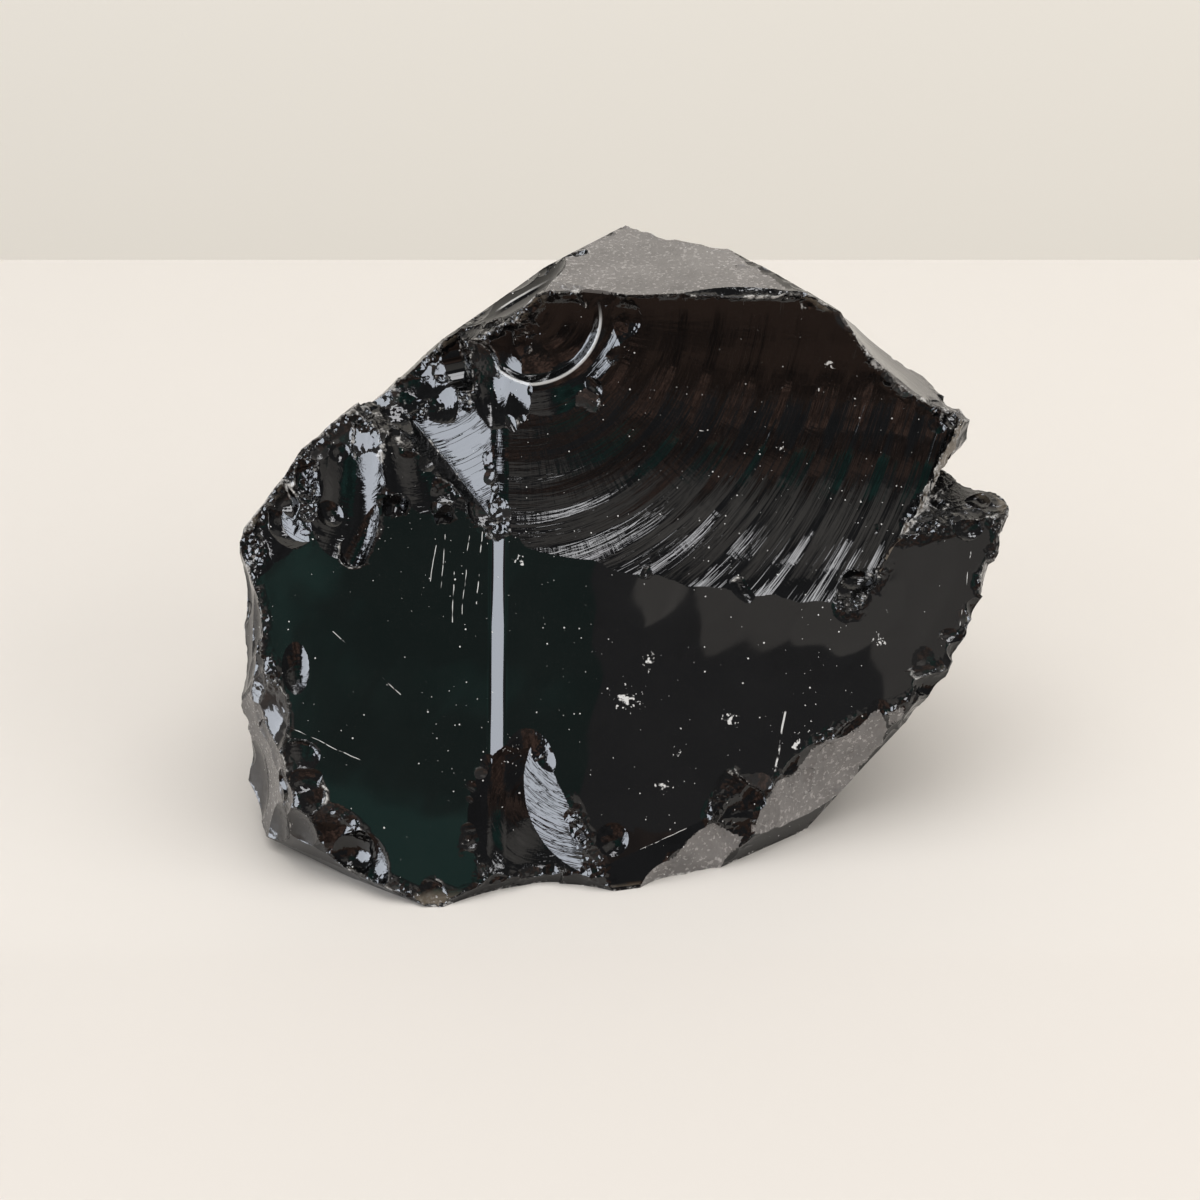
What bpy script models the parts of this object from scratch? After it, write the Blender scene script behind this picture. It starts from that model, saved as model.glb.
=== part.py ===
"""Obsidian chunk: one solid lump of black volcanic glass, roughly knapped.

A rough block is wrapped round named corners, then flakes are struck off it.  Every flake leaves
a shallow bowl, given by its deepest point, the way it faces, and how tightly it curves.

Lengths in the tables are millimetres and angles are degrees.  +X runs to the right along the
broad main face, +Y to the back, +Z up, and the chunk rests on Z = 0.
"""
import math
from collections import namedtuple

import bmesh
import bpy
from mathutils import Matrix, Vector

MM = 0.001

# Middle of the footprint: the finished chunk is moved so that this point is at the origin.
FOOTPRINT_MIDDLE = (4.15, 13.96)

# ------------------------------------------------------------------ the rough block
BLOCK_CORNERS = {
    # rim of the broad main face, clockwise from the left tip
    "left tip": (-54.0, 3.0, 42.0),
    "left rim": (-52.0, -3.5, 34.0),
    "left rim foot": (-48.5, -18.5, 16.0),
    "corner rim": (-43.0, -23.0, 10.0),
    "corner rim foot": (-30.5, -28.0, 3.0),
    "ledge tip": (62.5, 14.0, 44.0),
    "right rim": (60.0, 7.5, 37.5),
    "right rim middle": (52.5, -4.0, 24.5),
    "right rim foot": (41.5, -9.5, 18.5),
    # the summit and the blunt edge in front of it
    "summit": (5.5, 46.0, 76.0),
    "summit right": (16.0, 40.5, 75.5),
    "summit left": (-8.5, 29.5, 74.5),
    "shoulder right": (30.5, 22.0, 73.5),
    "brow left": (-12.5, 17.0, 73.5),
    "brow middle": (6.0, 17.5, 73.5),
    "brow right": (29.0, 17.5, 73.5),
    "brow ridge": (-12.0, 7.5, 46.5),
    # right wing and left crest
    "right tip": (60.5, 30.0, 51.5),
    "right tip front": (58.5, 23.0, 53.5),
    "right wing": (46.0, 23.0, 59.5),
    "crest right": (-24.0, 27.0, 63.5),
    "crest middle": (-33.5, 18.0, 60.0),
    "crest left": (-44.0, 12.0, 53.5),
    # back
    "back top left": (-10.0, 50.0, 66.0),
    "back top right": (30.0, 48.0, 58.0),
    "back left": (-42.0, 42.0, 36.0),
    "back right": (50.0, 44.0, 36.0),
    "back middle": (4.0, 60.0, 26.0),
    # foot, all round
    "foot front": (-22.0, -30.5, 0.0),
    "foot front left": (-36.5, -22.0, 0.0),
    "foot left toe": (-50.0, -14.5, 2.0),
    "foot left edge": (-54.5, -7.0, 8.0),
    "foot left": (-50.0, 10.0, 0.0),
    "foot back left": (-36.0, 36.0, 0.0),
    "foot back right": (28.0, 44.0, 0.0),
    "foot right": (38.0, 16.0, 0.0),
    "foot right toe": (40.5, -2.0, 6.0),
    "foot front right": (31.0, -10.5, 0.0),
    "foot front middle": (13.0, -23.0, 0.0),
}

# ------------------------------------------------------------------ parts that flakes stop at
# Each guard is the solid behind all of its planes; a plane is (point on it, direction it faces).
# A direction is (turn from the front towards the right, lift above level).
GUARDS = {
    "upper block": [((15.0, 4.5, 38.0), (-18, -48)), ((38.2, 2.7, 33.8), (51, -2))],
    "lower step": [((38.5, 2.4, 33.8), (231, 2))],
    "step ledge": [((44.7, 8.4, 40.2), (-40, 81))],
    "step back": [((44.7, 8.4, 40.5), (-30, 80))],
    "hinge wall": [((-30.6, 25.3, 53.9), (84, 55))],
    "scar lip": [((-4.6, -18.4, 11.2), (-28, 24))],
}

# ------------------------------------------------------------------ the flakes
# at      deepest point of the bowl
# facing  the way the bowl opens
# turn    how far its long axis leans to the left, seen from outside
# bend    radius of curvature along and across the long axis
# reach   how far the cut runs along and across the long axis
# strike  where the blow fell, along and across from the deepest point
# ripple  wave length and height of the rings round the blow
# guard   the part of the chunk that the flake stops at
FLAT = 4000.0
Flake = namedtuple("Flake", "at facing turn bend reach strike ripple guard")
Flake.__new__.__defaults__ = ((0.0, 0.0), None, None)

FLAKES = {
    # broad faces
    "main face": Flake((2.9, -8.5, 22.0), (4, 40), 0, (2800, 3600), (140, 140), guard="upper block"),
    "top face": Flake((8.5, 18.2, 73.4), (0, 85), 0, (FLAT, FLAT), (90, 90)),
    "great scar": Flake((16.8, 20.3, 54.0), (5, 19), -5, (29, 700), (120, 120),
                        strike=(14.0, -30.0), ripple=(6.0, 0.14), guard="lower step"),
    "strike bulb": Flake((-7.7, 22.5, 63.3), (6, 14), 0, (17, 19), (32, 32),
                         strike=(8.0, -3.0), ripple=(3.6, 0.07)),
    "right step": Flake((38.5, 2.6, 33.8), (50, -2), 0, (FLAT, FLAT), (70, 70), guard="step ledge"),
    "notch": Flake((51.2, 22.0, 39.5), (64, 22), 0, (3.6, 9), (16, 22), guard="step back"),
    "wing edge": Flake((43.8, 25.0, 59.5), (100, 50), 0, (36, 90), (44, 40)),
    # the crushed upper left edge
    "hinge flake": Flake((-19.5, 16.3, 50.5), (-32, 27), 28, (160, 90), (70, 70), guard="hinge wall"),
    "upper hinge": Flake((-17.0, 22.5, 59.2), (4, 31), 30, (13.0, 8.1), (14.7, 11.9)),
    "hinge top": Flake((-28.5, 26.3, 56.3), (-4, 44), 0, (7.4, 7.4), (9.5, 9.5)),
    "flute 1": Flake((-28.3, 15.0, 51.2), (10, 42), 6, (60, 9), (26, 18)),
    "flute 2": Flake((-35.7, 13.3, 49.5), (-14, 37), 10, (48, 8), (26, 17)),
    "flute 3": Flake((-40.1, 11.2, 47.7), (10, 44), 0, (34, 9), (24, 18)),
    "flute 4": Flake((-44.7, 9.3, 46.1), (-16, 37), 0, (24, 9), (22, 18)),
    "left tip face": Flake((-51.4, 3.3, 40.5), (-16, 34), 0, (14, 10), (18, 16)),
    # foot of the main face
    "foot scar": Flake((-8.2, -16.2, 8.4), (4, 36), 0, (20, 18), (16, 15),
                       strike=(0.0, 0.0), ripple=(3.4, 0.02), guard="scar lip"),
    "corner scar": Flake((-36.4, -23.6, 5.2), (-14, 30), 30, (14, 7), (22, 15)),
    "foot notch": Flake((-5.2, -23.6, 0.0), (-4, -8), 90, (22, 9), (30, 18)),
    "right scallop": Flake((18.6, -17.0, 9.6), (26, 12), 10, (10, 9), (20, 18)),
    "right undercut": Flake((28.4, -13.3, 8.5), (36, 0), -35, (40, 40), (50, 50)),
    "front undercut": Flake((15.0, -19.9, 4.0), (20, 8), -20, (20, 16), (30, 26)),
    # left side
    "left waist": Flake((-50.6, -1.5, 30.5), (-72, 8), 6, (34, 22), (36, 30)),
    "left notch": Flake((-48.8, -9.2, 24.0), (-46, 28), 0, (14, 8), (22, 16)),
    "left undercut": Flake((-50.5, -9.0, 9.0), (-56, 10), -20, (45, 34), (44, 40)),
    "toe undercut": Flake((-43.5, -22.2, 4.0), (-48, -4), -40, (30, 20), (34, 28)),
    "left heel": Flake((-46.0, 10.0, 14.0), (-100, -6), 0, (30, 35), (44, 46)),
    # chips off the crest, from the summit down to the left tip
    "crest chip 1": Flake((-10.5, 21.0, 73.1), (-50, 50), 0, (9, 6), (14, 11)),
    "crest chip 2": Flake((-18.3, 25.0, 65.9), (-60, 52), 0, (7, 9), (12, 14)),
    "crest chip 3": Flake((-31.8, 21.0, 59.2), (-40, 55), 20, (6, 7), (12, 12)),
    "crest chip 4": Flake((-38.6, 16.4, 56.2), (-55, 48), 0, (6, 6), (12, 12)),
    "crest chip 5": Flake((-46.8, 9.5, 49.4), (-50, 45), 0, (5, 7), (11, 12)),
    "crest chip 6": Flake((-50.1, 5.5, 45.5), (-60, 50), 0, (5, 5), (10, 10)),
    # nicks in the thin right rim
    "rim nick 1": Flake((59.4, 7.9, 39.0), (70, 20), 0, (6, 8), (12, 14)),
    "rim nick 2": Flake((57.2, 4.4, 33.2), (66, 15), 20, (7, 5), (13, 11)),
    "rim nick 3": Flake((51.8, -3.2, 25.6), (60, 10), 30, (6, 6), (12, 12)),
    "rim nick 4": Flake((40.4, -9.6, 15.8), (62, -16), 0, (7, 6), (13, 12)),
    # top and back
    "summit chip": Flake((-6.1, 33.2, 73.9), (-70, 30), 0, (12, 8), (20, 16)),
    "back face": Flake((10.0, 50.0, 34.0), (172, 12), 20, (60, 80), (70, 76),
                       strike=(22.0, 10.0), ripple=(7.0, 0.20)),
    "back right scar": Flake((44.0, 34.0, 30.0), (118, 2), -20, (40, 50), (50, 56)),
    "back left scar": Flake((-36.0, 34.0, 42.0), (-128, 32), 30, (50, 45), (54, 50),
                            strike=(12.0, 0.0), ripple=(5.6, 0.16)),
    "back crest": Flake((18.0, 46.0, 60.0), (160, 38), 0, (60, 30), (50, 40)),
    "back heel": Flake((-8.0, 40.0, 8.0), (195, -18), 0, (30, 40), (44, 50)),
    "right heel": Flake((42.0, 6.0, 10.0), (92, -20), 10, (40, 40), (50, 50)),
}

CHIP_REACH = 15.0        # a cut that runs no further than this is a chip
CHIP_SEGMENTS = 16       # round a chip
SEGMENTS = 26            # round a plain bowl
RIPPLED_SEGMENTS = 66    # round a rippled bowl
RINGS = 6                # out to the rim of a plain bowl
CUTTER_HEADROOM = 30.0   # how far a cutter stands above the highest point of its bowl
GUARD_HALF_SIZE = 150.0


def direction(facing):
    """Unit vector for (turn from the front towards the right, lift above level)."""
    turn, lift = (math.radians(angle) for angle in facing)
    return Vector((math.sin(turn) * math.cos(lift), -math.cos(turn) * math.cos(lift), math.sin(lift)))


def bowl_axes(facing, turn):
    """Long axis, cross axis and outward axis of a bowl."""
    outward = direction(facing)
    right = Vector((0.0, 0.0, 1.0)).cross(outward).normalized()
    upward = outward.cross(right)
    lean = math.radians(turn)
    along = upward * math.cos(lean) - right * math.sin(lean)
    across = right * math.cos(lean) + upward * math.sin(lean)
    return along, across, outward


def add_object(name, bm):
    """Turn a bmesh in millimetres into an object in metres, faces outward."""
    bmesh.ops.recalc_face_normals(bm, faces=bm.faces)
    bmesh.ops.scale(bm, vec=(MM, MM, MM), verts=bm.verts)
    mesh = bpy.data.meshes.new(name)
    bm.to_mesh(mesh)
    bm.free()
    obj = bpy.data.objects.new(name, mesh)
    bpy.context.scene.collection.objects.link(obj)
    return obj


def hide_tool(obj):
    """Show a cutting solid as wire only."""
    obj.hide_render = True
    obj.display_type = "WIRE"
    return obj


def cut(obj, tool):
    """Take the tool's volume away from the object."""
    boolean = obj.modifiers.new("cut " + tool.name, "BOOLEAN")
    boolean.operation = "DIFFERENCE"
    boolean.solver = "EXACT"
    boolean.object = tool


def rough_block():
    """The block before any flake is struck: a tight skin round its corners."""
    bm = bmesh.new()
    for corner in BLOCK_CORNERS.values():
        bm.verts.new(corner)
    hull = bmesh.ops.convex_hull(bm, input=bm.verts)
    inside = [item for item in hull["geom_interior"] if isinstance(item, bmesh.types.BMVert)]
    bmesh.ops.delete(bm, geom=inside, context="VERTS")
    return bm


def guard_solid(name):
    """A large cube trimmed back to the planes of one guard."""
    bm = bmesh.new()
    bmesh.ops.create_cube(bm, size=2.0 * GUARD_HALF_SIZE)
    for point, facing in GUARDS[name]:
        whole = bm.verts[:] + bm.edges[:] + bm.faces[:]
        bmesh.ops.bisect_plane(bm, geom=whole, plane_co=point, plane_no=direction(facing), clear_outer=True)
        open_edges = [edge for edge in bm.edges if edge.is_boundary]
        bmesh.ops.edgenet_fill(bm, edges=open_edges)
    return hide_tool(add_object("guard " + name, bm))


def ring_shares(flake):
    """Distances of the rings from the blow, as shares of the reach."""
    if flake.ripple is None:
        return [(ring + 1) / RINGS for ring in range(RINGS)]
    wave = flake.ripple[0]
    count = math.ceil(4.0 * flake.reach[0] / wave)
    return [(ring + 1) / count for ring in range(count)]


def bowl_height(flake, along, across):
    """Height of the bowl's surface over the plane that touches its deepest point."""
    height = along ** 2 / (2.0 * flake.bend[0]) + across ** 2 / (2.0 * flake.bend[1])
    if flake.ripple is not None:
        wave, swell = flake.ripple
        distance = math.hypot(along - flake.strike[0], across - flake.strike[1])
        height += swell * math.sin(math.tau * distance / wave)
    return height


def flake_solid(name, flake):
    """The solid struck off: a bowl below, ringed round the blow, and a flat lid above."""
    along_axis, across_axis, outward = bowl_axes(flake.facing, flake.turn)
    segments = RIPPLED_SEGMENTS if flake.ripple else SEGMENTS
    if flake.reach[0] < CHIP_REACH:
        segments = CHIP_SEGMENTS
    bm = bmesh.new()

    def point(along, across, height):
        offset = along_axis * along + across_axis * across + outward * height
        return bm.verts.new(Vector(flake.at) + offset)

    centre = point(*flake.strike, bowl_height(flake, *flake.strike))
    rings = []
    highest = 0.0
    for share in ring_shares(flake):
        ring = []
        for step in range(segments):
            angle = math.tau * step / segments
            along = flake.strike[0] + share * flake.reach[0] * math.cos(angle)
            across = flake.strike[1] + share * flake.reach[1] * math.sin(angle)
            height = bowl_height(flake, along, across)
            highest = max(highest, height)
            ring.append(point(along, across, height))
        rings.append(ring)

    lid_height = highest + CUTTER_HEADROOM
    lid = []
    for step in range(segments):
        angle = math.tau * step / segments
        along = flake.strike[0] + flake.reach[0] * math.cos(angle)
        across = flake.strike[1] + flake.reach[1] * math.sin(angle)
        lid.append(point(along, across, lid_height))
    rings.append(lid)

    for step in range(segments):
        after = (step + 1) % segments
        bm.faces.new((centre, rings[0][step], rings[0][after]))
        for inner, outer in zip(rings, rings[1:]):
            bm.faces.new((inner[step], outer[step], outer[after], inner[after]))
    bm.faces.new(lid)
    return hide_tool(add_object("flake " + name, bm))


def obsidian():
    """Black volcanic glass with a fire-polished lustre."""
    material = bpy.data.materials.new("obsidian")
    material.use_nodes = True
    shader = material.node_tree.nodes["Principled BSDF"]
    shader.inputs["Base Color"].default_value = (0.006, 0.006, 0.007, 1.0)
    shader.inputs["Roughness"].default_value = 0.08
    shader.inputs["IOR"].default_value = 1.49
    return material


def build():
    for old in list(bpy.data.objects):
        bpy.data.objects.remove(old)
    chunk = add_object("obsidian_chunk", rough_block())
    chunk.data.materials.append(obsidian())
    guards = {name: guard_solid(name) for name in GUARDS}
    for name, flake in FLAKES.items():
        solid = flake_solid(name, flake)
        if flake.guard is not None:
            cut(solid, guards[flake.guard])
        cut(chunk, solid)
    to_origin = Matrix.Translation(Vector((-FOOTPRINT_MIDDLE[0], -FOOTPRINT_MIDDLE[1], 0.0)) * MM)
    for obj in bpy.data.objects:
        obj.matrix_world = to_origin


build()
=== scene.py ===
"""Obsidian chunk, dressed: one lump of black volcanic glass on a pale floor.

The stone is worked out as a field: the tight skin round the block's corners, with the bowl of
every flake taken away, then hundreds of small chips along the arrises.  The field is meshed with
crisp arrises, thinned, and given the exact normals of its bowls, so that the glass mirrors cleanly.

Lengths in the tables are millimetres in the part's design frame, and angles are degrees.
"""
import math
from collections import namedtuple
from functools import partial, reduce
from itertools import product

import bmesh
import bpy
import numpy as np
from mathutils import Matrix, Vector
from mathutils.bvhtree import BVHTree


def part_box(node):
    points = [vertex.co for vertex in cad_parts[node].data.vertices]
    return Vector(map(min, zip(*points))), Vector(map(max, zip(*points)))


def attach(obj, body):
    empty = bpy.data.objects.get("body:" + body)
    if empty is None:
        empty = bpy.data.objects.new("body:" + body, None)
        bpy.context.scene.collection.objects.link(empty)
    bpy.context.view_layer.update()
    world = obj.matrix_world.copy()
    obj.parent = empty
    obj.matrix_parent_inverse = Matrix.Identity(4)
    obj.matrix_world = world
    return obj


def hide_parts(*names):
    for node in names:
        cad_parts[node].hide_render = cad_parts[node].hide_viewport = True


MM = 0.001
SEED = 93
FOOTPRINT_MIDDLE = np.array((4.15, 13.96, 0.0))
CELL = 0.38
FACE_BUDGET = 190000

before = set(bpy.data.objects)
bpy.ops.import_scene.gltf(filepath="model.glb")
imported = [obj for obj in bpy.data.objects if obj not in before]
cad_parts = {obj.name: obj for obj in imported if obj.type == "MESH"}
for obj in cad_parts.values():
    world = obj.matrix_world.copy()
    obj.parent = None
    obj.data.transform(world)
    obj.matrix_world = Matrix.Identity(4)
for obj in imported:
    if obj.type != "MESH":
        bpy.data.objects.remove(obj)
cad_low, cad_high = (np.array(corner) / MM + FOOTPRINT_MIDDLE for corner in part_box("obsidian_chunk"))
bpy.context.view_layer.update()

# ------------------------------------------------------------------ the rough block
BLOCK_CORNERS = {
    "left tip": (-54.0, 3.0, 42.0),
    "left rim": (-52.0, -3.5, 34.0),
    "left rim foot": (-48.5, -18.5, 16.0),
    "corner rim": (-43.0, -23.0, 10.0),
    "corner rim foot": (-30.5, -28.0, 3.0),
    "ledge tip": (62.5, 14.0, 44.0),
    "right rim": (60.0, 7.5, 37.5),
    "right rim middle": (52.5, -4.0, 24.5),
    "right rim foot": (41.5, -9.5, 18.5),
    "summit": (5.5, 46.0, 76.0),
    "summit right": (16.0, 40.5, 75.5),
    "summit left": (-8.5, 29.5, 74.5),
    "shoulder right": (30.5, 22.0, 73.5),
    "brow left": (-12.5, 17.0, 73.5),
    "brow middle": (6.0, 17.5, 73.5),
    "brow right": (29.0, 17.5, 73.5),
    "brow ridge": (-12.0, 7.5, 46.5),
    "right tip": (60.5, 30.0, 51.5),
    "right tip front": (58.5, 23.0, 53.5),
    "right wing": (46.0, 23.0, 59.5),
    "crest right": (-24.0, 27.0, 63.5),
    "crest middle": (-33.5, 18.0, 60.0),
    "crest left": (-44.0, 12.0, 53.5),
    "back top left": (-10.0, 50.0, 66.0),
    "back top right": (30.0, 48.0, 58.0),
    "back left": (-42.0, 42.0, 36.0),
    "back right": (50.0, 44.0, 36.0),
    "back middle": (4.0, 60.0, 26.0),
    "foot front": (-22.0, -30.5, 0.0),
    "foot front left": (-36.5, -22.0, 0.0),
    "foot left toe": (-50.0, -14.5, 2.0),
    "foot left edge": (-54.5, -7.0, 8.0),
    "foot left": (-50.0, 10.0, 0.0),
    "foot back left": (-36.0, 36.0, 0.0),
    "foot back right": (28.0, 44.0, 0.0),
    "foot right": (38.0, 16.0, 0.0),
    "foot right toe": (40.5, -2.0, 6.0),
    "foot front right": (31.0, -10.5, 0.0),
    "foot front middle": (13.0, -23.0, 0.0),
}

# ------------------------------------------------------------------ parts that flakes stop at
GUARDS = {
    "upper block": [((15.0, 4.5, 38.0), (-18, -48)), ((38.2, 2.7, 33.8), (51, -2))],
    "lower step": [((38.5, 2.4, 33.8), (231, 2))],
    "step ledge": [((44.7, 8.4, 40.2), (-40, 81))],
    "step back": [((44.7, 8.4, 40.5), (-30, 80))],
    "hinge wall": [((-30.6, 25.3, 53.9), (84, 55))],
    "scar lip": [((-4.6, -18.4, 11.2), (-28, 24))],
    "spoon lip": [((-40.4, 8.9, 45.9), (-30, 31))],
    "wedge": [((-42.5, 5.6, 43.4), (-33, 31))],
    "small wedge": [((-36.6, 8.6, 44.2), (-31, 30))],
}

# ------------------------------------------------------------------ the flakes
# at, facing, turn, bend, reach, strike, ripple, guard: as in the part
# rings   how strongly the fine rings round the blow show; above 0.95 they are grooved
# hackle  how strongly the fine lines away from the blow show
# haze    how dull the face is
FLAT = 4000.0
Flake = namedtuple("Flake", "at facing turn bend reach strike ripple guard rings hackle haze")
Flake.__new__.__defaults__ = ((0.0, 0.0), None, None, 0.35, 0.3, 0.0)
DULL_FOLD = dict(rings=1.0, hackle=1.0, haze=1.5)
# A face left by a guard: how far above its point it was struck, its rings and its hackle.
WALL_BLOW, WALL_RINGS, WALL_HACKLE = 12.0, 1.15, 0.3

FLAKES = {
    # broad faces
    "main face": Flake((2.9, -8.5, 22.0), (4, 40), 0, (2800, 3600), (140, 140), guard="upper block",
        rings=0.0, hackle=0.0, haze=0.03),
    "top face": Flake((8.5, 18.2, 73.4), (0, 85), 0, (FLAT, FLAT), (90, 90), strike=(20.0, -14.0),
        ripple=(20.0, 0.0), rings=0.5, hackle=0.6, haze=1.42),
    "great scar": Flake((16.8, 20.3, 54.0), (5, 19), -5, (29, 700), (120, 120), strike=(14.0, -30.0),
        ripple=(6.0, 0.14), guard="lower step", rings=1.0, hackle=0.5),
    "strike bulb": Flake((-7.7, 22.5, 63.3), (6, 14), 0, (17, 19), (32, 32), strike=(8.0, -3.0),
        ripple=(3.6, 0.07), rings=0.6, hackle=0.2),
    "right step": Flake((38.5, 2.6, 33.8), (50, -2), 0, (FLAT, FLAT), (70, 70), guard="step ledge"),
    "notch": Flake((51.2, 22.0, 39.5), (64, 22), 0, (3.6, 9), (16, 22), guard="step back", haze=0.4),
    "wing edge": Flake((43.8, 25.0, 59.5), (100, 50), 0, (36, 90), (44, 40), haze=0.8),
    # the crushed upper left edge
    "hinge flake": Flake((-19.5, 16.3, 50.5), (-32, 27), 28, (160, 90), (70, 70), strike=(24.0, -5.0),
        guard="hinge wall", rings=1.15, hackle=0.15),
    "upper hinge": Flake((-17.0, 22.5, 59.2), (4, 31), 30, (13.0, 8.1), (14.7, 11.9)),
    "hinge top": Flake((-28.5, 26.3, 56.3), (-4, 44), 0, (7.4, 7.4), (9.5, 9.5)),
    "flute 1": Flake((-28.3, 15.0, 51.2), (10, 42), 6, (60, 9), (26, 18)),
    "flute 2": Flake((-35.7, 13.3, 49.5), (-14, 37), 10, (48, 8), (26, 17)),
    "flute 3": Flake((-40.1, 11.2, 47.7), (10, 44), 0, (34, 9), (24, 18)),
    "flute 4": Flake((-44.7, 9.3, 46.1), (-16, 37), 0, (24, 9), (22, 18)),
    "left tip face": Flake((-51.4, 3.3, 40.5), (-16, 34), 0, (14, 10), (18, 16)),
    # foot of the main face
    "foot scar": Flake((-8.2, -16.2, 8.4), (4, 36), 0, (20, 18), (16, 15), strike=(0.0, 0.0),
        ripple=(3.4, 0.02), guard="scar lip", rings=0.5, hackle=0.6),
    "corner scar": Flake((-36.4, -23.6, 5.2), (-14, 30), 30, (14, 7), (22, 15)),
    "foot notch": Flake((-5.2, -23.6, 0.0), (-4, -8), 90, (22, 9), (30, 18)),
    "right scallop": Flake((18.6, -17.0, 9.6), (26, 12), 10, (10, 9), (20, 18)),
    "right undercut": Flake((28.4, -13.3, 8.5), (36, 0), -35, (40, 40), (50, 50), **DULL_FOLD),
    "front undercut": Flake((15.0, -19.9, 4.0), (20, 8), -20, (20, 16), (30, 26), **DULL_FOLD),
    # left side
    "left waist": Flake((-50.6, -1.5, 30.5), (-72, 8), 6, (34, 22), (36, 30)),
    "left notch": Flake((-48.8, -9.2, 24.0), (-46, 28), 0, (14, 8), (22, 16)),
    "left undercut": Flake((-50.5, -9.0, 9.0), (-56, 10), -20, (45, 34), (44, 40), haze=1.1),
    "toe undercut": Flake((-43.5, -22.2, 4.0), (-48, -4), -40, (30, 20), (34, 28), haze=0.5),
    "left heel": Flake((-46.0, 10.0, 14.0), (-100, -6), 0, (30, 35), (44, 46), haze=0.7),
    # chips off the crest, from the summit down to the left tip
    "crest chip 1": Flake((-10.5, 21.0, 73.1), (-50, 50), 0, (9, 6), (14, 11)),
    "crest chip 2": Flake((-18.3, 25.0, 65.9), (-60, 52), 0, (7, 9), (12, 14)),
    "crest chip 3": Flake((-31.8, 21.0, 59.2), (-40, 55), 20, (6, 7), (12, 12)),
    "crest chip 4": Flake((-38.6, 16.4, 56.2), (-55, 48), 0, (6, 6), (12, 12)),
    "crest chip 5": Flake((-46.8, 9.5, 49.4), (-50, 45), 0, (5, 7), (11, 12)),
    "crest chip 6": Flake((-50.1, 5.5, 45.5), (-60, 50), 0, (5, 5), (10, 10)),
    # nicks in the thin right rim
    "rim nick 1": Flake((59.4, 7.9, 39.0), (70, 20), 0, (6, 8), (12, 14)),
    "rim nick 2": Flake((57.2, 4.4, 33.2), (66, 15), 20, (7, 5), (13, 11)),
    "rim nick 3": Flake((51.8, -3.2, 25.6), (60, 10), 30, (6, 6), (12, 12)),
    "rim nick 4": Flake((40.4, -9.6, 15.8), (62, -16), 0, (7, 6), (13, 12)),
    # top and back
    "summit chip": Flake((-6.1, 33.2, 73.9), (-70, 30), 0, (12, 8), (20, 16)),
    "back face": Flake((10.0, 50.0, 34.0), (172, 12), 20, (60, 80), (70, 76), strike=(22.0, 10.0),
        ripple=(7.0, 0.20), rings=0.9, hackle=0.5),
    "back right scar": Flake((44.0, 34.0, 30.0), (118, 2), -20, (40, 50), (50, 56)),
    "back left scar": Flake((-36.0, 34.0, 42.0), (-128, 32), 30, (50, 45), (54, 50), strike=(12.0,
        0.0), ripple=(5.6, 0.16), rings=0.8, hackle=0.5),
    "back crest": Flake((18.0, 46.0, 60.0), (160, 38), 0, (60, 30), (50, 40)),
    "back heel": Flake((-8.0, 40.0, 8.0), (195, -18), 0, (30, 40), (44, 50)),
    "right heel": Flake((42.0, 6.0, 10.0), (92, -20), 10, (40, 40), (50, 50)),
}

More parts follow.
